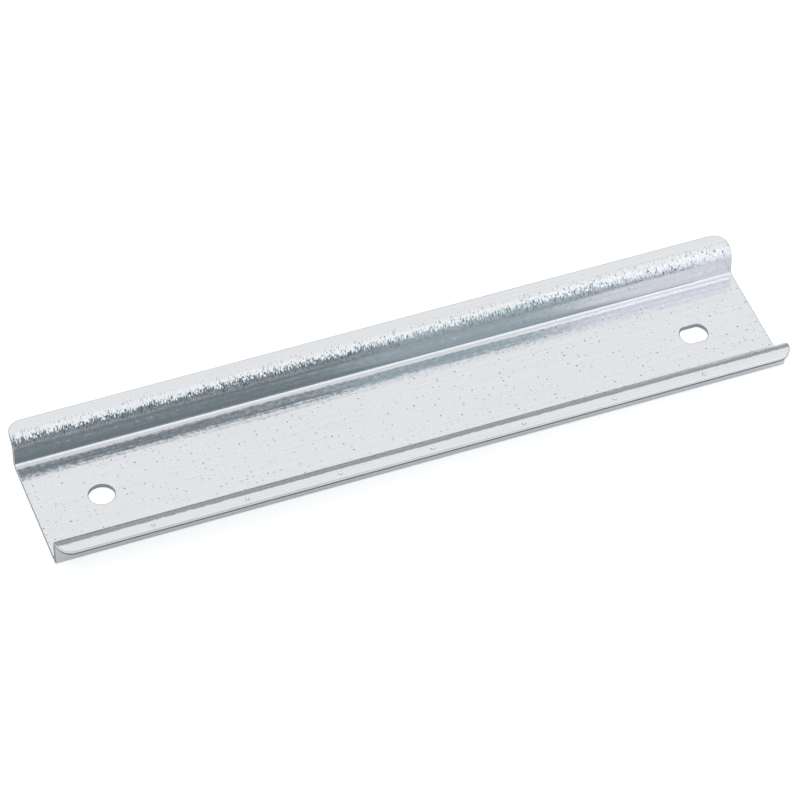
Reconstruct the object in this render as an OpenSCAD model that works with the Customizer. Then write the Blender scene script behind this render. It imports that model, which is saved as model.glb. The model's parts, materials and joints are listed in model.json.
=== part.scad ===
// Top-hat rail: a strip of plated sheet steel rolled to a hat section and cut to a length of eight modules.
// The rail lies along X on its web, with the channel open upward and a flange on each side.
// The web has a round hole near one end and a slot near the other, for the screws that fasten the rail.
// The corners of the flanges are rounded, and the flange at -Y has a small punched mark at each module.
// The origin is the middle of the underside of the web.

/* [Rail] */
// Length of the rail
rail_l = 144; // [60:1:1000]
// Width over both flanges
rail_w = 35; // [33:0.5:60]
// Height from the underside of the web to the top of the flanges
rail_h = 7.5; // [6:0.1:15]
// Thickness of the sheet
sheet_t = 1; // [0.5:0.05:1.5]
// Width of the channel over the outside of its two walls
channel_w = 27; // [20:0.5:28]

/* [Bends and corners] */
// Inside radius of the bends between the web and the walls
web_bend_r = 0.8; // [0.2:0.1:2]
// Inside radius of the bends between the walls and the flanges
flange_bend_r = 1.8; // [0.2:0.1:2.5]
// Radius of the four flange corners, seen from above
corner_r = 3; // [0.5:0.1:5]

/* [Hole and slot] */
// Diameter of the round hole
hole_d = 5; // [3:0.1:8]
// Distance from the end at -X to the centre of the round hole
hole_end = 13; // [8:0.5:25]
// Length of the slot along the rail, which is also the diameter of its round ends
slot_l = 5.4; // [4.6:0.1:9]
// Width of the slot between its two flat sides
slot_w = 4.5; // [3:0.1:5]
// Distance from the end at +X to the centre of the slot
slot_end = 13; // [8:0.5:25]

/* [Module marks] */
// Width of one module, the spacing of the marks
module_w = 18; // [9:0.5:36]
// Diameter of a mark at the surface of the flange
mark_d = 0.9; // [0.4:0.1:1.5]
// Depth of a mark
mark_depth = 0.25; // [0.1:0.05:0.4]

/* [Hidden] */
$fn = 96;
// How far the cutting shapes run past the sheet
past = 1;
// Inner and outer face of a channel wall
wall_in = channel_w / 2 - sheet_t;
wall_out = channel_w / 2;
// Centre of the bend between the web and a wall, across the rail and up
web_bend_y = wall_in - web_bend_r;
web_bend_z = sheet_t + web_bend_r;
// Centre of the bend between a wall and a flange, across the rail and up
flange_bend_y = wall_out + flange_bend_r;
flange_bend_z = rail_h - sheet_t - flange_bend_r;
// Middle of the flat part of a flange, where the marks are punched
mark_y = (flange_bend_y + rail_w / 2) / 2;
// Marks between the two ends, one module apart, counted from the end at -X
mark_count = ceil(rail_l / module_w) - 1;

// A quarter of a ring of sheet about the origin, in the quadrant of +X and +Y
module bend_section(inner_r) {
    outer_r = inner_r + sheet_t;
    intersection() {
        difference() {
            circle(r = outer_r);
            circle(r = inner_r);
        }
        square(outer_r + past);
    }
}

// Half of the web, one wall and one flange, with the two bends between them: X is across the rail, Y is up
module half_section() {
    square([web_bend_y, sheet_t]);
    translate([web_bend_y, web_bend_z]) mirror([0, 1]) bend_section(web_bend_r);
    translate([wall_in, web_bend_z]) square([sheet_t, flange_bend_z - web_bend_z]);
    translate([flange_bend_y, flange_bend_z]) mirror([1, 0]) bend_section(flange_bend_r);
    translate([flange_bend_y, rail_h - sheet_t]) square([rail_w / 2 - flange_bend_y, sheet_t]);
}

// The rolled strip: the whole section, drawn out along X
module strip() {
    rotate([90, 0, 90]) linear_extrude(rail_l, center = true) {
        half_section();
        mirror([1, 0]) half_section();
    }
}

// What the cropping tool takes off the flange corner at +X, +Y
module corner_waste() {
    translate([rail_l / 2 - corner_r, rail_w / 2 - corner_r, flange_bend_z]) linear_extrude(rail_h) difference() {
        square(corner_r + past);
        circle(r = corner_r);
    }
}

// The four corner cuts
module corner_cuts() {
    for (side = [0, 1], end = [0, 1]) mirror([0, side]) mirror([end, 0]) corner_waste();
}

// The round hole through the web
module round_hole() {
    translate([hole_end - rail_l / 2, 0, -past]) cylinder(d = hole_d, h = sheet_t + 2 * past);
}

// The slot through the web: a round hole with two flat sides along the rail
module slot() {
    translate([rail_l / 2 - slot_end, 0, -past]) linear_extrude(sheet_t + 2 * past) intersection() {
        circle(d = slot_l);
        square([slot_l + past, slot_w], center = true);
    }
}

// The cone-shaped marks in the top of the flange at -Y
module marks() {
    for (i = [1 : mark_count])
        translate([i * module_w - rail_l / 2, -mark_y, rail_h - mark_depth])
            cylinder(r1 = 0, r2 = mark_d, h = 2 * mark_depth);
}

module rail() {
    color("gainsboro") difference() {
        strip();
        corner_cuts();
        round_hole();
        slot();
        marks();
    }
}

rail();
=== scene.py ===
"""Dresses the top-hat rail: zinc-plated sheet steel, punched, roll formed and cropped to length.

The sheet is worked out flat, as the blank that goes into the roll former: a grid over each of its
two faces, a square patch around every hole and punch mark, and rings down every cut edge. One
function then rolls the whole array of points into the hat section. Lengths are in metres, and the
rail lies along X with its channel upward.
"""

import json
import logging
import math
from dataclasses import dataclass
from enum import Enum

import bpy
import numpy as np
from mathutils import Matrix, Vector


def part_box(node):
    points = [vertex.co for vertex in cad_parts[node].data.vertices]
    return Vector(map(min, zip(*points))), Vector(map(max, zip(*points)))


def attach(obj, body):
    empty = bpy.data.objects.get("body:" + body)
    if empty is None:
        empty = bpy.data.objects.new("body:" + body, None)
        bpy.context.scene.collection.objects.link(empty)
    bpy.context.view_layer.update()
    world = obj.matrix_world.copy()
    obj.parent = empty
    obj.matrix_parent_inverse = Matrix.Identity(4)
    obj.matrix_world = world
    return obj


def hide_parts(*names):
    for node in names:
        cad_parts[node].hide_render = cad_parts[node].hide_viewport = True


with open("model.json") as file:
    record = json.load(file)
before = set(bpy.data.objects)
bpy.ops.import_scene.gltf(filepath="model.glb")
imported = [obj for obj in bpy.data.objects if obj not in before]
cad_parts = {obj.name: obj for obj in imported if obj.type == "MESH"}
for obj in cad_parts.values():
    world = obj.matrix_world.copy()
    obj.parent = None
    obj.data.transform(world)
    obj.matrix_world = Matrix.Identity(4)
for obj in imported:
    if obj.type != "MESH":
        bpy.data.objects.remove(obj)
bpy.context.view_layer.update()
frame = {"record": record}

MM = 0.001
RECORD = frame["record"]
log = logging.getLogger("rail")


def linear(colour: str) -> tuple[float, float, float, float]:
    """Turns an sRGB hex colour into the linear RGBA that a shader socket takes.

    Args:
        colour: the colour as "#RRGGBB".

    Returns:
        Linear red, green, blue and an alpha of 1.
    """
    parts = [int(colour[i : i + 2], 16) / 255 for i in (1, 3, 5)]
    return (*(c / 12.92 if c <= 0.04045 else ((c + 0.055) / 1.055) ** 2.4 for c in parts), 1.0)


def add_node(
    tree: bpy.types.NodeTree, kind: str, inputs: dict | None = None, **settings: object
) -> bpy.types.Node:
    """Adds one shader node with its settings, values and links.

    Args:
        tree: the node tree that gets the node.
        kind: the node's type, such as "ShaderNodeBump".
        inputs: for each input, by name or number, the socket to link from or the value to set.
        settings: the node's own properties, such as operation="MULTIPLY".

    Returns:
        The new node.
    """
    node = tree.nodes.new(kind)
    for name, value in settings.items():
        setattr(node, name, value)
    for key, value in (inputs or {}).items():
        if isinstance(value, bpy.types.NodeSocket):
            tree.links.new(value, node.inputs[key])
        else:
            node.inputs[key].default_value = value
    return node


def add_material(name: str) -> tuple[bpy.types.Material, bpy.types.NodeTree, bpy.types.Node]:
    """Makes a material with nodes.

    Args:
        name: name of the material.

    Returns:
        The material, its node tree and its main shader.
    """
    made = bpy.data.materials.new(name)
    made.use_nodes = True
    return made, made.node_tree, made.node_tree.nodes["Principled BSDF"]


def add_object(name: str, data: bpy.types.ID) -> bpy.types.Object:
    """Makes an object and puts it into the scene.

    Args:
        name: name of the object.
        data: its mesh, light or camera.

    Returns:
        The object.
    """
    made = bpy.data.objects.new(name, data)
    bpy.context.scene.collection.objects.link(made)
    return made


def mount(name: str) -> dict:
    """Gives the record's mount of that name, with its place and its dimensions."""
    return next(m for m in RECORD["mounts"] if m["name"] == name)


class HoleForm(Enum):
    """The two punches that make the rail's holes."""

    ROUND = "round"
    FLAT_SIDED = "flat-sided"


class Sheet(Enum):
    """The two kinds of surface of the rail, each with its place in the list of materials."""

    PLATED = 0
    CUT = 1


@dataclass(frozen=True)
class Turn:
    """Part of a bend: how far it turns the sheet, in degrees, and the radius of its hollow side."""

    degrees: float
    radius: float
    cells: int


@dataclass(frozen=True)
class HatSection:
    """The section that the strip is rolled to, all lengths in metres.

    A place on the flat blank is (x, s, n): x along the rail, s across the strip from its middle
    line, measured on the middle of the sheet, and n up through the sheet, from minus to plus half
    its thickness. Rolls leave no true circles: the web lifts gently before it turns sharply up the
    wall, and the flange bend flattens slowly. The plating cracked most where the flange bend leans
    by cracked_lean degrees, and stayed whole cracked_within degrees away from there. The bend at -s
    cracked only by near_share of that.
    """

    width: float
    height: float
    sheet: float
    channel: float = 27 * MM
    web_bend: tuple[Turn, ...] = (
        Turn(12, 4.5 * MM, 3),
        Turn(23, 1.2 * MM, 5),
        Turn(55, 0.2 * MM, 7),
    )
    flange_bend: tuple[Turn, ...] = (
        Turn(50, 1.5 * MM, 9),
        Turn(24, 2.3 * MM, 4),
        Turn(16, 2.8 * MM, 4),
    )
    wall_cells: int = 7
    cracked_lean: float = 46.0
    cracked_within: float = 42.0
    near_share: float = 0.33

    @property
    def pieces(self) -> np.ndarray:
        """Divides half the section into stretches, from the middle out.

        A stretch that turns from the lean a to b on the radius R reaches R |sin(b) - sin(a)| out
        and R |cos(b) - cos(a)| up. The flats of web, wall and flange take what the bends leave of
        the half width and the height.

        Returns:
            A row for each stretch: its length, its turn in radians and its number of grid cells.
        """
        rows, reach, rise = [], [], []
        for bend, sign, lean in ((self.web_bend, 1, 0.0), (self.flange_bend, -1, math.pi / 2)):
            for turn in bend:
                angle, radius = math.radians(turn.degrees) * sign, turn.radius + self.sheet / 2
                rows.append((abs(angle) * radius, angle, turn.cells))
                reach.append(radius * abs(math.sin(lean + angle) - math.sin(lean)))
                rise.append(radius * abs(math.cos(lean + angle) - math.cos(lean)))
                lean += angle
        first = len(self.web_bend)
        wall_y = (self.channel - self.sheet) / 2
        web = (wall_y - sum(reach[:first]), 0.0, 0)
        wall = (self.height - self.sheet - sum(rise), 0.0, self.wall_cells)
        flange = (self.width / 2 - wall_y - sum(reach[first:]), 0.0, 0)
        return np.array([web, *rows[:first], wall, *rows[first:], flange])

    @property
    def starts(self) -> np.ndarray:
        """Where each stretch begins across the strip, and where the last one ends."""
        return np.concatenate([[0.0], np.cumsum(self.pieces[:, 0])])

    @property
    def half_strip(self) -> float:
        """Half the width of the flat strip: from its middle to the edge of a flange."""
        return float(self.starts[-1])

    @property
    def flange_start(self) -> float:
        """Where the flange bend begins across the strip."""
        return float(self.starts[len(self.web_bend) + 2])

    def course(self, s: np.ndarray) -> tuple[np.ndarray, np.ndarray, np.ndarray]:
        """Follows the middle of the sheet across the strip.

        Along a stretch of curvature k that begins at (y0, z0) with the lean a0, it has come the
        chord l sin(k l / 2) / (k l / 2) in the direction a0 + k l / 2 after the length l, and leans
        by a0 + k l.

        Args:
            s: places across the strip, either side of its middle.

        Returns:
            How far out and how high the sheet lies there, and its lean in radians.
        """
        lengths, turns, _ = self.pieces.T
        lean = np.concatenate([[0.0], np.cumsum(turns)])[:-1]
        chord = lengths * np.sinc(turns / (2 * math.pi))
        y0 = np.concatenate([[0.0], np.cumsum(chord * np.cos(lean + turns / 2))])
        z0 = self.sheet / 2 + np.concatenate([[0.0], np.cumsum(chord * np.sin(lean + turns / 2))])
        i = np.searchsorted(self.starts, np.abs(s), side="right") - 1
        i = np.clip(i, 0, len(lengths) - 1)
        come = np.abs(s) - self.starts[i]
        half_turn = (turns / lengths)[i] * come / 2
        chord = come * np.sinc(half_turn / math.pi)
        heading = lean[i] + half_turn
        return y0[i] + chord * np.cos(heading), z0[i] + chord * np.sin(heading), heading + half_turn

    def roll(self, blank: np.ndarray) -> np.ndarray:
        """Rolls places on the flat blank into the hat section.

        The middle of the sheet follows its course, and n is laid off along its normal, (-sin, cos)
        of the lean. The half at -s is the mirror image.

        Args:
            blank: places (x, s, n) in the last axis.

        Returns:
            The places (x, y, z) of the rolled sheet, in an array of the same shape.
        """
        x, s, n = np.moveaxis(blank, -1, 0)
        y, z, lean = self.course(s)
        return np.stack([x, np.sign(s) * (y - n * np.sin(lean)), z + n * np.cos(lean)], axis=-1)

    def strain(self, s: np.ndarray) -> np.ndarray:
        """How much the flange bend cracked the plating, by the lean of the sheet.

        Args:
            s: places across the strip.

        Returns:
            1 - d^2, no less than 0, where d is how far the lean is from the worst one, as a share
            of the range that cracked. It is 0 outside the flange bends, and smaller at -s.
        """
        away = (np.degrees(self.course(s)[2]) - self.cracked_lean) / self.cracked_within
        cracked = np.clip(1 - away**2, 0, 1) * (np.abs(s) > self.flange_start)
        return cracked * np.where(s < 0, self.near_share, 1.0)


@dataclass(frozen=True)
class CutEdge:
    """What a punch or a shear leaves down the thickness of a sheet, from its top to its bottom.

    The top edge is drawn down into a soft roll-over, whose first steps keep their plating. Below it
    the tool burnishes a straight land, and the rest breaks away along a leaning fracture that ends
    in a fine burr.
    """

    roll_over_run: float = 0.20 * MM
    roll_over_drop: float = 0.13 * MM
    land: float = 0.42 * MM
    fracture_lean: float = 0.09 * MM
    burr: float = 0.03 * MM
    roll_over_steps: int = 5
    plated_steps: int = 2
    burr_steps: int = 3

    def profile(self, sheet: float) -> tuple[np.ndarray, np.ndarray]:
        """Works out the edge as a line of points.

        The roll-over is a quarter of an ellipse, the land and the fracture are straight, with a
        point half way down the fracture, and the burr is a quarter of a circle.

        Args:
            sheet: thickness of the sheet.

        Returns:
            How far each point lies inside the nominal outline, and its height n, from the top down.
        """
        over = np.linspace(0, math.pi / 2, self.roll_over_steps + 1)
        turn = np.linspace(0, math.pi / 2, self.burr_steps + 1)
        top = sheet / 2
        land_foot = top - self.roll_over_drop - self.land
        inset = np.concatenate(
            [
                self.roll_over_run * (1 - np.sin(over)),
                [0.0, self.fracture_lean / 2],
                self.fracture_lean + self.burr * (1 - np.cos(turn)),
            ]
        )
        height = np.concatenate(
            [
                top - self.roll_over_drop * (1 - np.cos(over)),
                [land_foot, (land_foot - top + self.burr) / 2],
                self.burr * (1 - np.sin(turn)) - top,
            ]
        )
        return inset, height

    def kinds(self, points: int) -> list[Sheet]:
        """Gives the surface of each band between that many points of the edge, from the top."""
        return [Sheet.PLATED] * self.plated_steps + [Sheet.CUT] * (points - 1 - self.plated_steps)


def around(cells: int) -> np.ndarray:
    """Spaces directions round a square with that many cells a side, from its corner at -x, -s."""
    return np.linspace(0, 2 * math.pi, 4 * cells, endpoint=False) - 3 / 4 * math.pi


@dataclass(frozen=True)
class Punch:
    """A hole punched down through the web, round or with a flat on each side along the rail."""

    form: HoleForm
    x: float
    radius: float
    half_width: float
    half_block: float = 4 * MM
    cells: int = 24
    corner_sharpness: float = 36.0

    def outline(self, inset: float) -> tuple[np.ndarray, np.ndarray]:
        """Works out the hole's rim, seen from above and anticlockwise from the corner at -x, -s.

        The round hole is a circle. The flat-sided one is the smaller of a circle's reach R and a
        strip's reach w / |sin(angle)| in every direction, blended as
        (R^-p + (w / |sin|)^-p)^(-1/p), which rounds the corners between them by a few hundredths of
        a millimetre.

        Args:
            inset: how far outside the nominal hole the rim lies.

        Returns:
            Places x and s of the rim's points.
        """
        angle = around(self.cells)
        reach = np.full(angle.shape, self.radius + inset)
        if self.form is HoleForm.FLAT_SIDED:
            # The least sine keeps the strip's reach finite straight along the rail
            strip = (self.half_width + inset) / np.maximum(np.abs(np.sin(angle)), 0.001)
            p = self.corner_sharpness
            reach = (reach**-p + strip**-p) ** (-1 / p)
        return self.x + reach * np.cos(angle), reach * np.sin(angle)


@dataclass(frozen=True)
class CentreMark:
    """A dent that a pointed punch left in the top of a flange, in a rim of the metal it raised.

    The places and the spread of the rim and of the rings of points are shares of the radius.
    """

    radius: float = 0.38 * MM
    depth: float = 0.26 * MM
    tip: float = 0.05 * MM
    rim: float = 0.015 * MM
    rim_at: float = 1.15
    rim_spread: float = 0.16
    bulge: float = 0.03 * MM
    half_block: float = 0.64 * MM
    cells: int = 8
    rings: tuple[float, ...] = (1.48, 1.36, 1.25, 1.15, 1.06, 1.0, 0.93, 0.8, 0.62, 0.42, 0.24, 0.1)

    def height(self, distance: np.ndarray) -> np.ndarray:
        """Works out the dent: a cone with a blunted tip, in a low rim shaped as a bell curve.

        Args:
            distance: how far each point lies from the middle of the mark.

        Returns:
            Height over the face of the sheet.
        """
        cone = 1 - np.sqrt(distance**2 + self.tip**2) / self.radius
        rim = np.exp(-(((distance / self.radius - self.rim_at) / self.rim_spread) ** 2))
        return self.rim * rim - self.depth * np.clip(cone, 0, None)


def grid_lines(
    lowest: float, highest: float, blocks: list[tuple[float, float, int]], spacing: float
) -> np.ndarray:
    """Spaces the lines of a grid evenly inside each block, and not too far apart between blocks.

    Args:
        lowest: where the lines begin.
        highest: where they end.
        blocks: start, end and number of cells of each block, in order.
        spacing: the widest that a cell between two blocks may be.

    Returns:
        The places of the lines.
    """
    rounding = 1e-6
    spans, last = [], lowest
    for start, end, cells in [*blocks, (highest, highest, 0)]:
        spans.append((last, start, math.ceil((start - last) / spacing - rounding)))
        spans.append((start, end, cells))
        last = end
    lines = [np.linspace(a, b, n, endpoint=False) for a, b, n in spans if n > 0]
    return np.concatenate([*lines, [highest]])


def rim_of(grid: np.ndarray, corners: tuple[int, int, int, int]) -> np.ndarray:
    """Walks once round a rectangle of a grid, anticlockwise from its corner at -x, -s.

    Args:
        grid: point numbers, or any other entries, along x and then across.
        corners: first and last line along x, then first and last line across.

    Returns:
        The entries on the rectangle's rim, each once.
    """
    a, b, c, d = corners
    return np.concatenate([grid[a:b, c], grid[b, c:d], grid[b:a:-1, d], grid[a, d:c:-1]])


class Blank:
    """Collects the flat blank's points (x, s, n) and the faces between them, patch by patch."""

    def __init__(self) -> None:
        """Starts with no points and no faces."""
        self.points: list[np.ndarray] = []
        self.quads: list[np.ndarray] = []
        self.kinds: list[np.ndarray] = []
        self.triangles: list[np.ndarray] = []
        self.count = 0

    def add_points(self, x: np.ndarray, s: np.ndarray, n: np.ndarray | float) -> np.ndarray:
        """Adds points.

        Args:
            x: places along the rail.
            s: places across the strip, of the same shape.
            n: heights through the sheet, of the same shape or one for all.

        Returns:
            The numbers of the new points, in the shape of x.
        """
        points = np.stack(np.broadcast_arrays(x, s, n), axis=-1).reshape(-1, 3)
        numbers = np.arange(self.count, self.count + len(points)).reshape(np.shape(x))
        self.points.append(points)
        self.count += len(points)
        return numbers

    def add_quads(self, corners: list[np.ndarray], kind: Sheet, turned: bool) -> None:
        """Adds quads.

        Args:
            corners: four arrays of point numbers, one for each corner, anticlockwise from outside.
            kind: which surface the quads belong to.
            turned: whether the corners run the other way round.
        """
        quads = np.stack(corners, axis=-1).reshape(-1, 4)
        self.quads.append(quads[:, ::-1] if turned else quads)
        self.kinds.append(np.full(len(quads), kind.value))

    def add_grid(
        self, index: np.ndarray, left_out: list[tuple[int, int, int, int]], turned: bool
    ) -> None:
        """Adds the quads of a grid of points, except those inside some rectangles.

        Args:
            index: the grid's point numbers, along x and then across.
            left_out: the rectangles, each as first and last line along x, then across.
            turned: whether the grid faces down.
        """
        kept = np.ones((index.shape[0] - 1, index.shape[1] - 1), bool)
        for a, b, c, d in left_out:
            kept[a:b, c:d] = False
        corners = [index[:-1, :-1], index[1:, :-1], index[1:, 1:], index[:-1, 1:]]
        self.add_quads([corner[kept] for corner in corners], Sheet.PLATED, turned)

    def add_loops(
        self, loops: list[np.ndarray], kinds: list[Sheet], turned: bool = False
    ) -> None:
        """Adds a band of quads between each closed loop of points and the next.

        Args:
            loops: point numbers of each loop, all of one length.
            kinds: the surface that each band belongs to.
            turned: whether the bands face the other way.
        """
        for upper, lower, kind in zip(loops, loops[1:], kinds):
            corners = [upper, np.roll(upper, -1), np.roll(lower, -1), lower]
            self.add_quads(corners, kind, turned)

    def add_fan(self, loop: np.ndarray, middle: np.ndarray) -> None:
        """Closes a small loop of points with triangles to its middle point."""
        corners = [loop, np.roll(loop, -1), np.full(loop.shape, middle[0])]
        self.triangles.append(np.stack(corners, axis=-1))

    def mesh(self, name: str, section: HatSection) -> bpy.types.Mesh:
        """Rolls the blank into its section and makes it a mesh.

        Each point keeps its place on the blank as the attribute "blank", for patterns that follow
        the sheet, and the stretch of its plating as "strain". Its normal is the sum of the normals
        of the faces round it, each weighted by the face's area, so that the flats stay flat beside
        the narrow faces of a bend. Points that no face uses are dropped.

        Args:
            name: name of the mesh.
            section: the section to roll to.

        Returns:
            The mesh, smooth shaded, with the number of each face's surface as its material index.
        """
        quads, triangles = np.concatenate(self.quads), np.concatenate(self.triangles)
        used = np.unique(np.concatenate([quads.ravel(), triangles.ravel()]))
        quads, triangles = np.searchsorted(used, quads), np.searchsorted(used, triangles)
        blank = np.concatenate(self.points)[used]
        place = section.roll(blank)
        mesh = bpy.data.meshes.new(name)
        mesh.from_pydata(place.tolist(), [], quads.tolist() + triangles.tolist())
        kinds = np.concatenate([*self.kinds, np.full(len(triangles), Sheet.PLATED.value)])
        mesh.polygons.foreach_set("material_index", kinds.astype(np.int32))
        mesh.polygons.foreach_set("use_smooth", np.ones(len(kinds), bool))
        on_blank = mesh.attributes.new("blank", "FLOAT_VECTOR", "POINT")
        on_blank.data.foreach_set("vector", blank.ravel())
        strain = mesh.attributes.new("strain", "FLOAT", "POINT")
        strain.data.foreach_set("value", section.strain(blank[:, 1]))
        normals = np.zeros(place.shape)
        for corners in (quads, triangles):
            p = place[corners]
            face = np.cross(p[:, 2] - p[:, 0], p[:, -1] - p[:, 1])
            np.add.at(normals, corners, face[:, None, :])
        normals /= np.linalg.norm(normals, axis=1, keepdims=True)
        mesh.normals_split_custom_set_from_vertices(normals)
        return mesh


@dataclass(frozen=True)
class Pattern:
    """A noise on the flat sheet: its length along and across the strip, and how far it tilts it."""

    along: float
    across: float
    tilt: float
    detail: float = 3.0


@dataclass(frozen=True)
class ZincPlate:
    """Bright zinc plate on cold-rolled sheet that was roll formed after plating.

    A slightly blurred metal shine, light grey, with rolling streaks along the strip, soft dents and
    a fine grain. Where the flange bend stretched it, the plating cracked into tiny flakes that
    glint or go dark, and small pits with a dull floor are scattered over the web. The patterns are
    drawn on the blank, so that they follow the sheet round its bends.
    """

    colour: str = "#E9E8EA"
    stain_colour: str = "#DFDEDF"
    pit_colour: str = "#939597"
    bared_colour: str = "#899195"
    metallic: float = 0.93
    roughness: float = 0.135
    streak: Pattern = Pattern(40 * MM, 0.4 * MM, 0.10)
    cloud: Pattern = Pattern(1.1 * MM, 0.8 * MM, 0.09)
    grain: Pattern = Pattern(0.5 * MM, 0.3 * MM, 0.05)
    noise_middle: float = 0.5
    stained: tuple[float, float] = (0.25, 0.5)
    # The flakes are finer in truth, and are drawn as coarse as they still show
    flake: Pattern = Pattern(0.15 * MM, 0.4 * MM, 0.55)
    bared_share: float = 0.09
    lifted: float = 0.4
    pitted: float = 11 * MM
    pit_spacing: tuple[float, float] = (1.3 * MM, 1.1 * MM)
    pit_share: float = 0.5
    pit_size: float = 0.15
    pit_rim: tuple[float, float] = (-0.02, 0.03)
    pit_depth: float = 0.02 * MM
    least_dull: float = 0.2

    def flakes(
        self, tree: bpy.types.NodeTree, blank: bpy.types.NodeSocket
    ) -> tuple[bpy.types.NodeSocket, bpy.types.NodeSocket]:
        """Cracks the plating into flakes, the more the further the bend stretched it.

        Each cell of a Voronoi pattern leans its own way, by strain * tilt * (chance - lifted), and
        a small share of the cells has lost its zinc.

        Args:
            tree: the material's node tree.
            blank: the place on the blank.

        Returns:
            The tilt of the face, and how far the steel is bared.
        """
        strain = add_node(tree, "ShaderNodeAttribute", attribute_name="strain").outputs["Fac"]
        size = (1 / self.flake.along, 1 / self.flake.across, 1.0)
        place = add_node(tree, "ShaderNodeMapping", {"Vector": blank, "Scale": size})
        flake = add_node(
            tree,
            "ShaderNodeTexVoronoi",
            {"Vector": place.outputs[0], "Scale": 1.0},
            voronoi_dimensions="2D",
        )
        chances = add_node(tree, "ShaderNodeSeparateXYZ", {0: flake.outputs["Color"]}).outputs
        lost = add_node(
            tree, "ShaderNodeMath", {0: chances["Y"], 1: self.bared_share}, operation="LESS_THAN"
        )
        bared = add_node(
            tree, "ShaderNodeMath", {0: lost.outputs[0], 1: strain}, operation="MULTIPLY"
        )
        lean = add_node(
            tree, "ShaderNodeMath", {0: chances["X"], 1: self.lifted}, operation="SUBTRACT"
        )
        most = add_node(
            tree, "ShaderNodeMath", {0: strain, 1: self.flake.tilt}, operation="MULTIPLY"
        )
        tilt = add_node(
            tree, "ShaderNodeMath", {0: lean.outputs[0], 1: most.outputs[0]}, operation="MULTIPLY"
        )
        return tilt.outputs[0], bared.outputs[0]

    def rolling(
        self,
        tree: bpy.types.NodeTree,
        blank: bpy.types.NodeSocket,
        tilt: bpy.types.NodeSocket,
    ) -> tuple[bpy.types.NodeSocket, bpy.types.NodeSocket]:
        """Adds the streaks, dents and grain that rolling left, each as tilt * (noise - 1/2).

        Args:
            tree: the material's node tree.
            blank: the place on the blank.
            tilt: the tilt of the face so far.

        Returns:
            The whole tilt, and how stained the zinc is, which follows the streaks and the grain.
        """
        noises = []
        for pattern in (self.streak, self.cloud, self.grain):
            size = (1 / pattern.along, 1 / pattern.across, 1.0)
            place = add_node(tree, "ShaderNodeMapping", {"Vector": blank, "Scale": size})
            noise = add_node(
                tree,
                "ShaderNodeTexNoise",
                {"Vector": place.outputs[0], "Scale": 1.0, "Detail": pattern.detail},
                noise_dimensions="2D",
            ).outputs["Fac"]
            lean = add_node(
                tree, "ShaderNodeMath", {0: noise, 1: self.noise_middle}, operation="SUBTRACT"
            )
            tilt = add_node(
                tree,
                "ShaderNodeMath",
                {0: lean.outputs[0], 1: pattern.tilt, 2: tilt},
                operation="MULTIPLY_ADD",
            ).outputs[0]
            noises.append(noise)
        both = add_node(tree, "ShaderNodeMath", {0: noises[0], 1: noises[2]}, operation="MULTIPLY")
        low, high = self.stained
        stain = add_node(
            tree,
            "ShaderNodeMapRange",
            {"Value": both.outputs[0], "From Min": low, "From Max": high},
        )
        return tilt, stain.outputs[0]

    def leaned(
        self, tree: bpy.types.NodeTree, tilt: bpy.types.NodeSocket
    ) -> bpy.types.NodeSocket:
        """Tilts the face across the strip: its normal N becomes N + tilt (N x X), made unit length.

        Args:
            tree: the material's node tree.
            tilt: the tilt of the face.

        Returns:
            The tilted normal.
        """
        normal = add_node(tree, "ShaderNodeNewGeometry").outputs["Normal"]
        across = add_node(
            tree, "ShaderNodeVectorMath", {0: normal, 1: (1, 0, 0)}, operation="CROSS_PRODUCT"
        )
        leaned = add_node(
            tree,
            "ShaderNodeVectorMath",
            {0: across.outputs[0], 1: tilt, 2: normal},
            operation="MULTIPLY_ADD",
        )
        unit = add_node(
            tree, "ShaderNodeVectorMath", {0: leaned.outputs[0]}, operation="NORMALIZE"
        )
        return unit.outputs[0]

    def pits(
        self, tree: bpy.types.NodeTree, blank: bpy.types.NodeSocket
    ) -> tuple[bpy.types.NodeSocket, bpy.types.NodeSocket]:
        """Scatters pits over the web, one in each cell whose chance is above the pit share.

        The further above it the chance is, the wider the pit, up to pit_size of a cell.

        Args:
            tree: the material's node tree.
            blank: the place on the blank.

        Returns:
            Where the pits are, and how dull each one's floor is.
        """
        size = (1 / self.pit_spacing[0], 1 / self.pit_spacing[1], 1.0)
        place = add_node(tree, "ShaderNodeMapping", {"Vector": blank, "Scale": size})
        cell = add_node(
            tree,
            "ShaderNodeTexVoronoi",
            {"Vector": place.outputs[0], "Scale": 1.0},
            voronoi_dimensions="2D",
        )
        chances = add_node(tree, "ShaderNodeSeparateXYZ", {0: cell.outputs["Color"]}).outputs
        wide = add_node(
            tree,
            "ShaderNodeMapRange",
            {
                "Value": chances["X"],
                "From Min": self.pit_share,
                "To Min": 0.0,
                "To Max": self.pit_size,
            },
        )
        s = add_node(tree, "ShaderNodeSeparateXYZ", {0: blank}).outputs["Y"]
        away = add_node(tree, "ShaderNodeMath", {0: s}, operation="ABSOLUTE")
        web = add_node(
            tree, "ShaderNodeMath", {0: away.outputs[0], 1: self.pitted}, operation="LESS_THAN"
        )
        reach = add_node(
            tree, "ShaderNodeMath", {0: wide.outputs[0], 1: web.outputs[0]}, operation="MULTIPLY"
        )
        inside = add_node(
            tree,
            "ShaderNodeMath",
            {0: reach.outputs[0], 1: cell.outputs["Distance"]},
            operation="SUBTRACT",
        )
        outer, inner = self.pit_rim
        pit = add_node(
            tree,
            "ShaderNodeMapRange",
            {"Value": inside.outputs[0], "From Min": outer, "From Max": inner},
            interpolation_type="SMOOTHSTEP",
        ).outputs[0]
        square = add_node(
            tree, "ShaderNodeMath", {0: chances["Y"], 1: chances["Y"]}, operation="MULTIPLY"
        )
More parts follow.
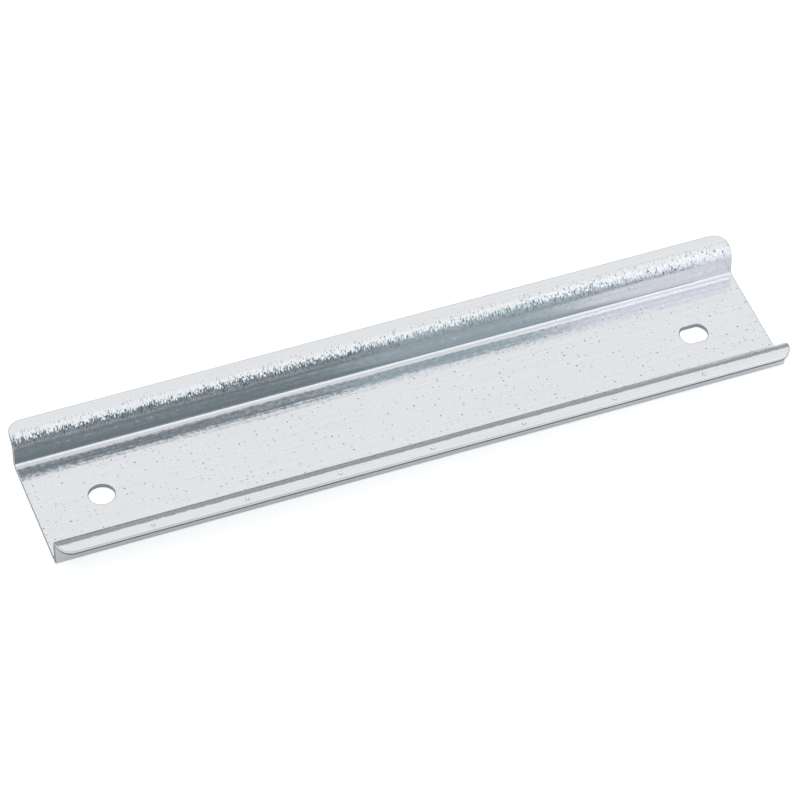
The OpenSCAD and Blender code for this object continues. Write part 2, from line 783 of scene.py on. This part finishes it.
        floor = add_node(
            tree,
            "ShaderNodeMath",
            {0: square.outputs[0], 1: self.least_dull},
            operation="ADD",
            use_clamp=True,
        )
        dull = add_node(
            tree, "ShaderNodeMath", {0: pit, 1: floor.outputs[0]}, operation="MULTIPLY"
        )
        return pit, dull.outputs[0]

    def material(self) -> bpy.types.Material:
        """Builds the material from the tilts, the pits and the stains.

        Returns:
            The material, for the plated faces.
        """
        made, tree, shader = add_material("Zinc-plated cold-rolled steel")
        shader.inputs["Metallic"].default_value = self.metallic
        shader.inputs["Roughness"].default_value = self.roughness
        blank = add_node(tree, "ShaderNodeAttribute", attribute_name="blank").outputs["Vector"]
        tilt, bared = self.flakes(tree, blank)
        tilt, stain = self.rolling(tree, blank, tilt)
        pit, dull = self.pits(tree, blank)
        dented = add_node(
            tree,
            "ShaderNodeBump",
            {"Height": pit, "Distance": self.pit_depth, "Normal": self.leaned(tree, tilt)},
            invert=True,
        )
        tree.links.new(dented.outputs[0], shader.inputs["Normal"])
        colour = linear(self.colour)
        for share, other in (
            (stain, self.stain_colour),
            (bared, self.bared_colour),
            (dull, self.pit_colour),
        ):
            colour = add_node(
                tree,
                "ShaderNodeMix",
                {"Factor": share, 6: colour, 7: linear(other)},
                data_type="RGBA",
            ).outputs[2]
        tree.links.new(colour, shader.inputs["Base Color"])
        return made


@dataclass(frozen=True)
class ShearedSteel:
    """The edge of sheet steel cut by a punch or a shear.

    Its upper part is a land that the tool smeared smooth; below a ragged line the metal tore, and
    is rough and dull. On the side of the strip at -Y the land is painted light, a painted
    highlight, and the tear is painted dark, painted shade under the flange's edge. The other side,
    the ends and the holes show dull bare steel on the land, and their tear is painted lighter, as
    painted light from the table below.
    """

    # Beyond this, at -Y, the cut edge gets a painted highlight on its land and painted shade in its
    # tear. The other tear colour is painted lighter, as painted light from the table below.
    near_side_from: float
    near_land_highlight: str = "#F0F0F1"
    near_tear_shade: str = "#74787B"
    bare_land: str = "#A0A6AA"
    table_lit_tear: str = "#B0B5B8"
    land_roughness: float = 0.3
    torn_roughness: float = 0.55
    line: float = -0.08 * MM
    line_blur: float = 0.02 * MM
    ragged: float = 0.16 * MM
    ragged_length: float = 0.5 * MM
    ragged_detail: float = 3.0
    grain: float = 0.09 * MM
    grain_detail: float = 2.0
    grain_height: float = 0.012 * MM

    def material(self) -> bpy.types.Material:
        """Builds the material: torn below the ragged line, with a painted highlight and painted
        shade at -Y.

        Returns:
            The material, for the cut faces.
        """
        made, tree, shader = add_material("Sheared cold-rolled steel")
        shader.inputs["Metallic"].default_value = 1.0
        blank = add_node(tree, "ShaderNodeAttribute", attribute_name="blank").outputs["Vector"]
        place = add_node(tree, "ShaderNodeSeparateXYZ", {0: blank}).outputs
        wave = add_node(
            tree,
            "ShaderNodeTexNoise",
            {"Vector": blank, "Scale": 1 / self.ragged_length, "Detail": self.ragged_detail},
        )
        line = add_node(
            tree,
            "ShaderNodeMath",
            {0: wave.outputs["Fac"], 1: self.ragged, 2: self.line - self.ragged / 2},
            operation="MULTIPLY_ADD",
        )
        below = add_node(
            tree, "ShaderNodeMath", {0: line.outputs[0], 1: place["Z"]}, operation="SUBTRACT"
        )
        torn = add_node(
            tree,
            "ShaderNodeMapRange",
            {
                "Value": below.outputs[0],
                "From Min": -self.line_blur,
                "From Max": self.line_blur,
            },
            interpolation_type="SMOOTHSTEP",
        ).outputs[0]
        # Painted light and shade: the side at -Y gets a light land, a painted highlight, and a dark
        # tear, painted shade; elsewhere the tear is painted lighter, as painted light from the
        # table. In the loop, plated stands for the painted colours of the side at -Y, and bare for
        # the colours elsewhere.
        near_side = add_node(
            tree, "ShaderNodeMath", {0: place["Y"], 1: -self.near_side_from}, operation="LESS_THAN"
        ).outputs[0]
        land, tear = (
            add_node(
                tree,
                "ShaderNodeMix",
                {"Factor": near_side, 6: linear(bare), 7: linear(plated)},
                data_type="RGBA",
            ).outputs[2]
            for bare, plated in (
                (self.bare_land, self.near_land_highlight),
                (self.table_lit_tear, self.near_tear_shade),
            )
        )
        colour = add_node(
            tree, "ShaderNodeMix", {"Factor": torn, 6: land, 7: tear}, data_type="RGBA"
        )
        rough = add_node(
            tree,
            "ShaderNodeMix",
            {"Factor": torn, 2: self.land_roughness, 3: self.torn_roughness},
            data_type="FLOAT",
        )
        grain = add_node(
            tree,
            "ShaderNodeTexNoise",
            {"Vector": blank, "Scale": 1 / self.grain, "Detail": self.grain_detail},
        )
        height = add_node(
            tree, "ShaderNodeMath", {0: grain.outputs["Fac"], 1: torn}, operation="MULTIPLY"
        )
        bump = add_node(
            tree,
            "ShaderNodeBump",
            {"Height": height.outputs[0], "Distance": self.grain_height},
        )
        tree.links.new(colour.outputs[2], shader.inputs["Base Color"])
        tree.links.new(rough.outputs[0], shader.inputs["Roughness"])
        tree.links.new(bump.outputs[0], shader.inputs["Normal"])
        return made


@dataclass(frozen=True)
class PlatedRail:
    """The rail: one strip of sheet with its holes, marks and cut edges, rolled to its hat section.

    The rings of a patch mix its square and its rim in the shares of patch_mix.
    """

    section: HatSection
    length: float
    punches: tuple[Punch, ...]
    edge: CutEdge = CutEdge()
    mark: CentreMark = CentreMark()
    corner: float = 3 * MM
    module: float = 18 * MM
    mark_count: int = 7
    mark_inset: float = 1.1 * MM
    cells_in_corner: int = 10
    patch_mix: tuple[float, ...] = (0.3, 0.55, 0.76, 0.91, 1.0)
    spacing: float = 1.5 * MM

    @property
    def mark_places(self) -> np.ndarray:
        """Places x of the marks, one module apart and even about the middle."""
        return (np.arange(self.mark_count) - (self.mark_count - 1) / 2) * self.module

    @property
    def mark_line(self) -> float:
        """How far from the middle of the strip the marks lie."""
        return self.section.half_strip - self.mark_inset

    def columns(self) -> np.ndarray:
        """Spaces the grid's lines across the strip.

        Returns:
            Places s from edge to edge, fine in the bends, the walls and the blocks.
        """
        starts = self.section.starts.tolist()
        cells = self.section.pieces[:, 2].astype(int).tolist()
        low, high = self.mark_line - self.mark.half_block, self.mark_line + self.mark.half_block
        punch = self.punches[0]
        side = [(start, end, n) for start, end, n in zip(starts, starts[1:], cells) if n]
        side.append((low, high, self.mark.cells))
        mirrored = [(-end, -start, cells) for start, end, cells in reversed(side)]
        middle = (-punch.half_block, punch.half_block, punch.cells)
        edge = self.section.half_strip
        return grid_lines(-edge, edge, [*mirrored, middle, *side], self.spacing)

    def stations(self) -> np.ndarray:
        """Spaces the grid's lines along the rail, between the places where its corners begin.

        Returns:
            Places x, fine in the blocks of holes and marks.
        """
        blocks = [(p.x - p.half_block, p.x + p.half_block, p.cells) for p in self.punches]
        half = self.mark.half_block
        blocks += [(x - half, x + half, self.mark.cells) for x in self.mark_places]
        end = self.length / 2 - self.corner
        return grid_lines(-end, end, sorted(blocks), self.spacing)

    def face(self, inset: float) -> tuple[np.ndarray, np.ndarray]:
        """Lays the grid over the blank's outline: a rounded rectangle, drawn in by an inset.

        Round a corner the lines across stand at x = L/2 - R + (R - inset) sin(u) and end at
        s = S - R + (R - inset) cos(u), with u from 0 to a right angle. The lines along the strip
        that lie beyond the start of the flange bend draw together in proportion, and the last one
        follows the outline.

        Args:
            inset: how far inside the nominal outline the grid ends.

        Returns:
            Places x and s of the grid's points, along x and then across.
        """
        turn = np.linspace(0, math.pi / 2, self.cells_in_corner + 1)[1:]
        middle, radius, edge = self.stations(), self.corner - inset, self.section.half_strip
        end_x = self.length / 2 - self.corner + radius * np.sin(turn)
        nominal = edge - self.corner + self.corner * np.cos(turn)
        actual = edge - self.corner + radius * np.cos(turn)
        x = np.concatenate([-end_x[::-1], middle, end_x])
        reach = np.concatenate([nominal[::-1], np.full(middle.shape, edge), nominal])
        tip = np.concatenate([actual[::-1], np.full(middle.shape, edge - inset), actual])
        columns, bend = self.columns(), self.section.flange_start
        beyond = np.clip(np.abs(columns) - bend, 0, None)
        drawn_in = 1 - (reach - bend) / (edge - bend)
        s = np.abs(columns) - beyond * drawn_in[:, None]
        s[:, [0, -1]] = tip[:, None]
        return np.broadcast_to(x[:, None], s.shape), np.sign(columns) * s

    def block(self, x: float, s: float, half: float, cells: int) -> tuple[int, int, int, int]:
        """Finds the grid lines of a square block.

        Args:
            x: the block's middle along the rail.
            s: the block's middle across the strip.
            half: half its side.
            cells: its cells along each side.

        Returns:
            First and last line along x, then first and last line across.
        """
        first = self.cells_in_corner + int(np.argmin(np.abs(self.stations() - x + half)))
        low = int(np.argmin(np.abs(self.columns() - s + half)))
        return first, first + cells, low, low + cells

    def patch(
        self, blank: Blank, square: np.ndarray, rim: tuple[np.ndarray, np.ndarray], n: float
    ) -> list[np.ndarray]:
        """Lays rings between a square of the grid and a hole's rim.

        Each ring is the square and the rim mixed, point by point: (1 - w) square + w rim.

        Args:
            blank: where the points go.
            square: numbers of the points round the square.
            rim: places x and s of the rim.
            n: height of the face.

        Returns:
            The loops of point numbers, from the square to the rim.
        """
        points = np.concatenate(blank.points)[square]
        loops = [square]
        for w in self.patch_mix:
            x, s = ((1 - w) * points[:, i] + w * rim[i] for i in (0, 1))
            loops.append(blank.add_points(x, s, n))
        return loops

    def mesh(self) -> bpy.types.Mesh:
        """Builds the strip flat, with its edges, holes and marks, and rolls it.

        Returns:
            The rail's mesh.
        """
        blank, half = Blank(), self.section.sheet / 2
        insets, heights = self.edge.profile(self.section.sheet)
        kinds = self.edge.kinds(len(insets))
        x, s = self.face(insets[0])
        upper = blank.add_points(x, s, half)
        x, s = self.face(insets[-1])
        away = (x[..., None] - self.mark_places) ** 2 + (s[..., None] + self.mark_line) ** 2
        bulge = self.mark.bulge * np.exp(-away / self.mark.radius**2).sum(-1)
        lower = blank.add_points(x, s, -half - bulge)

        whole = (0, upper.shape[0] - 1, 0, upper.shape[1] - 1)
        edges = [rim_of(upper, whole)]
        for inset, height in zip(insets[1:-1], heights[1:-1]):
            x, s = self.face(inset)
            edges.append(blank.add_points(rim_of(x, whole), rim_of(s, whole), height))
        blank.add_loops([*edges, rim_of(lower, whole)], kinds, turned=True)

        holes = [self.block(p.x, 0.0, p.half_block, p.cells) for p in self.punches]
        for punch, corners in zip(self.punches, holes):
            top = self.patch(blank, rim_of(upper, corners), punch.outline(insets[0]), half)
            wall = [
                blank.add_points(*punch.outline(inset), height)
                for inset, height in zip(insets[1:-1], heights[1:-1])
            ]
            foot = self.patch(blank, rim_of(lower, corners), punch.outline(insets[-1]), -half)
            flat = [Sheet.PLATED] * (len(top) - 1)
            blank.add_loops([*top, *wall, *reversed(foot)], [*flat, *kinds, *flat])

        mark, line = self.mark, -self.mark_line
        angle = around(mark.cells)
        dents = [self.block(x, line, mark.half_block, mark.cells) for x in self.mark_places]
        for x, corners in zip(self.mark_places, dents):
            loops = [rim_of(upper, corners)]
            for ring in mark.rings:
                r = np.full(angle.shape, ring * mark.radius)
                place = x + r * np.cos(angle), line + r * np.sin(angle)
                loops.append(blank.add_points(*place, half + mark.height(r)))
            blank.add_loops(loops, [Sheet.PLATED] * len(mark.rings))
            tip = half + mark.height(np.zeros(1))
            blank.add_fan(loops[-1], blank.add_points(np.array([x]), np.array([line]), tip))

        blank.add_grid(upper, holes + dents, turned=False)
        blank.add_grid(lower, holes, turned=True)
        return blank.mesh("zinc_plated_rail", self.section)

    def build(self) -> bpy.types.Object:
        """Makes the rail's piece, dresses it and lets it stand for the solid.

        Returns:
            The piece.
        """
        mesh = self.mesh()
        # The cut edge's painted highlight and painted shade begin at -Y where the near corners
        # begin.
        sheared = ShearedSteel(near_side_from=self.section.half_strip - self.corner)
        for finish in (ZincPlate(), sheared):
            mesh.materials.append(finish.material())
        piece = add_object("zinc_plated_rail", mesh)
        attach(piece, "root")
        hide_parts("rail")
        return piece


@dataclass(frozen=True)
class Lamp:
    """A flat studio light: its middle, the point it faces, its two sides and its brightness."""

    name: str
    middle: tuple[float, float, float]
    aim: tuple[float, float, float]
    sides: tuple[float, float]
    brightness: float
    colour: str = "#FFFFFF"

    def build(self) -> bpy.types.Object:
        """Makes the lamp. Its power is brightness times pi times its area.

        Returns:
            The lamp's object.
        """
        data = bpy.data.lights.new(self.name, "AREA")
        data.shape = "RECTANGLE"
        data.size, data.size_y = self.sides
        data.energy = self.brightness * math.pi * self.sides[0] * self.sides[1]
        data.color = linear(self.colour)[:3]
        lamp = add_object(self.name, data)
        lamp.location = self.middle
        lamp.rotation_mode = "QUATERNION"
        facing = Vector(self.aim) - Vector(self.middle)
        lamp.rotation_quaternion = facing.to_track_quat("-Z", "Y")
        lamp.visible_camera = False
        return lamp


@dataclass(frozen=True)
class Studio:
    """A pale table in a dim room, under a large overhead light and a strip in front of it.

    A card at the right, with a dimmer fringe, brightens that end of the far wall. The table top is
    matt, and glows by floor_glow for the camera and by mirrored_share of that in mirrors and glass.
    The room turns from its front colour to its back colour over the directions whose part along Y
    is less than room_blend.
    """

    floor_side: float = 6.0
    floor_colour: str = "#CFCFCF"
    floor_roughness: float = 0.9
    floor_glow: float = 0.74
    mirrored_share: float = 0.42
    front_colour: str = "#73848A"
    back_colour: str = "#A1A7A8"
    room_blend: float = 0.3
    lamps: tuple[Lamp, ...] = (
        Lamp("overhead_softbox", (0, 0.40, 1.2), (0, 0.40, 0), (2.4, 2.4), 0.60),
        Lamp("front_strip", (0, -0.43, 1.19), (0, -0.43, 0), (2.4, 1.04), 0.27),
        Lamp(
            "right_card", (0.1925, -0.12, 0.12), (0.1925, 0, 0.12), (0.20, 0.24), 0.87, "#F5F4FE"
        ),
        Lamp(
            "right_fringe", (0.0645, -0.12, 0.12), (0.0645, 0, 0.12), (0.056, 0.24), 0.29, "#E0F8FF"
        ),
    )

    def build_floor(self) -> bpy.types.Object:
        """Lays the floor, a matt laminate that shows no shine and a very even white.

        Returns:
            The floor's object.
        """
        h = self.floor_side / 2
        mesh = bpy.data.meshes.new("floor")
        mesh.from_pydata([(-h, -h, 0), (h, -h, 0), (h, h, 0), (-h, h, 0)], [], [(0, 1, 2, 3)])
        made, tree, shader = add_material("White laminate table top")
        shader.inputs["Base Color"].default_value = linear(self.floor_colour)
        shader.inputs["Roughness"].default_value = self.floor_roughness
        shader.inputs["Specular IOR Level"].default_value = 0.0
        shader.inputs["Emission Color"].default_value = (1, 1, 1, 1)
        path = add_node(tree, "ShaderNodeLightPath")
        seen = path.outputs["Is Camera Ray"]
        for ray in ("Is Glossy Ray", "Is Transmission Ray"):
            seen = add_node(
                tree,
                "ShaderNodeMath",
                {0: path.outputs[ray], 1: self.mirrored_share, 2: seen},
                operation="MULTIPLY_ADD",
            ).outputs[0]
        glow = add_node(
            tree,
            "ShaderNodeMath",
            {0: seen, 1: self.floor_glow},
            operation="MULTIPLY",
            use_clamp=True,
        )
        tree.links.new(glow.outputs[0], shader.inputs["Emission Strength"])
        mesh.materials.append(made)
        floor = add_object("floor", mesh)
        return floor

    def build_room(self) -> None:
        """Gives the world its dim walls: cool on the camera's side and neutral at the back."""
        world = bpy.data.worlds.new("room")
        world.use_nodes = True
        tree = world.node_tree
        ray = add_node(tree, "ShaderNodeTexCoord").outputs["Generated"]
        split = add_node(tree, "ShaderNodeSeparateXYZ", {0: ray})
        back = add_node(
            tree,
            "ShaderNodeMapRange",
            {
                "Value": split.outputs["Y"],
                "From Min": -self.room_blend,
                "From Max": self.room_blend,
            },
            interpolation_type="SMOOTHSTEP",
        )
        colour = add_node(
            tree,
            "ShaderNodeMix",
            {"Factor": back.outputs[0], 6: linear(self.front_colour), 7: linear(self.back_colour)},
            data_type="RGBA",
        )
        tree.links.new(colour.outputs[2], tree.nodes["Background"].inputs["Color"])
        bpy.context.scene.world = world

    def build(self) -> None:
        """Builds the floor, the room and the lamps."""
        self.build_floor()
        self.build_room()
        for lamp in self.lamps:
            lamp.build()
        bpy.context.scene.view_settings.view_transform = "Standard"


@dataclass(frozen=True)
class ProductCamera:
    """A long lens that looks down on the rail from the front left."""

    azimuth: float = math.radians(-19.603)
    elevation: float = math.radians(46.195)
    roll: float = math.radians(-0.725)
    distance: float = 875.97 * MM
    shifted: tuple[float, float] = (-0.413 * MM, 3.030 * MM)
    lens: float = 210.45
    sensor: float = 36.0
    clip: tuple[float, float] = (0.01, 20.0)

    def build(self) -> bpy.types.Object:
        """Makes the camera and gives it to the scene.

        The camera stands back from the origin along its own line of sight, moved a little to its
        right and up, and is rolled about that line.

        Returns:
            The camera's object.
        """
        a, e = self.azimuth, self.elevation
        back = Vector((math.sin(a) * math.cos(e), -math.cos(a) * math.cos(e), math.sin(e)))
        right = Vector((0, 0, 1)).cross(back).normalized()
        up = back.cross(right)
        place = back * self.distance + right * self.shifted[0] + up * self.shifted[1]
        axes = Matrix((right, up, back)).transposed()
        data = bpy.data.cameras.new("product_camera")
        data.lens, data.sensor_width = self.lens, self.sensor
        data.clip_start, data.clip_end = self.clip
        camera = add_object("product_camera", data)
        turned = axes @ Matrix.Rotation(self.roll, 3, "Z")
        camera.matrix_world = Matrix.Translation(place) @ turned.to_4x4()
        bpy.context.scene.camera = camera
        return camera


def main() -> None:
    """Builds the studio, the camera and the rail."""
    logging.basicConfig(level=logging.INFO, format="%(name)s: %(message)s")
    Studio().build()
    ProductCamera().build()
    low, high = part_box("rail")
    hole, slot = mount("screw_hole"), mount("screw_slot")
    sheet = hole["dims"]["length_mm"] * MM
    section = HatSection(width=high.y - low.y, height=high.z - low.z, sheet=sheet)
    radius = hole["dims"]["r_mm"] * MM
    rail = PlatedRail(
        section=section,
        length=high.x - low.x,
        punches=(
            Punch(HoleForm.ROUND, hole["pos_m"][0], radius, radius),
            Punch(
                HoleForm.FLAT_SIDED,
                slot["pos_m"][0],
                slot["dims"]["slot_length_mm"] * MM / 2,
                slot["dims"]["hole_r_mm"] * MM,
            ),
        ),
    )
    piece = rail.build()
    shape = piece.data
    log.info("%s: %d points, %d faces", piece.name, len(shape.vertices), len(shape.polygons))


if __name__ == "__main__":
    main()
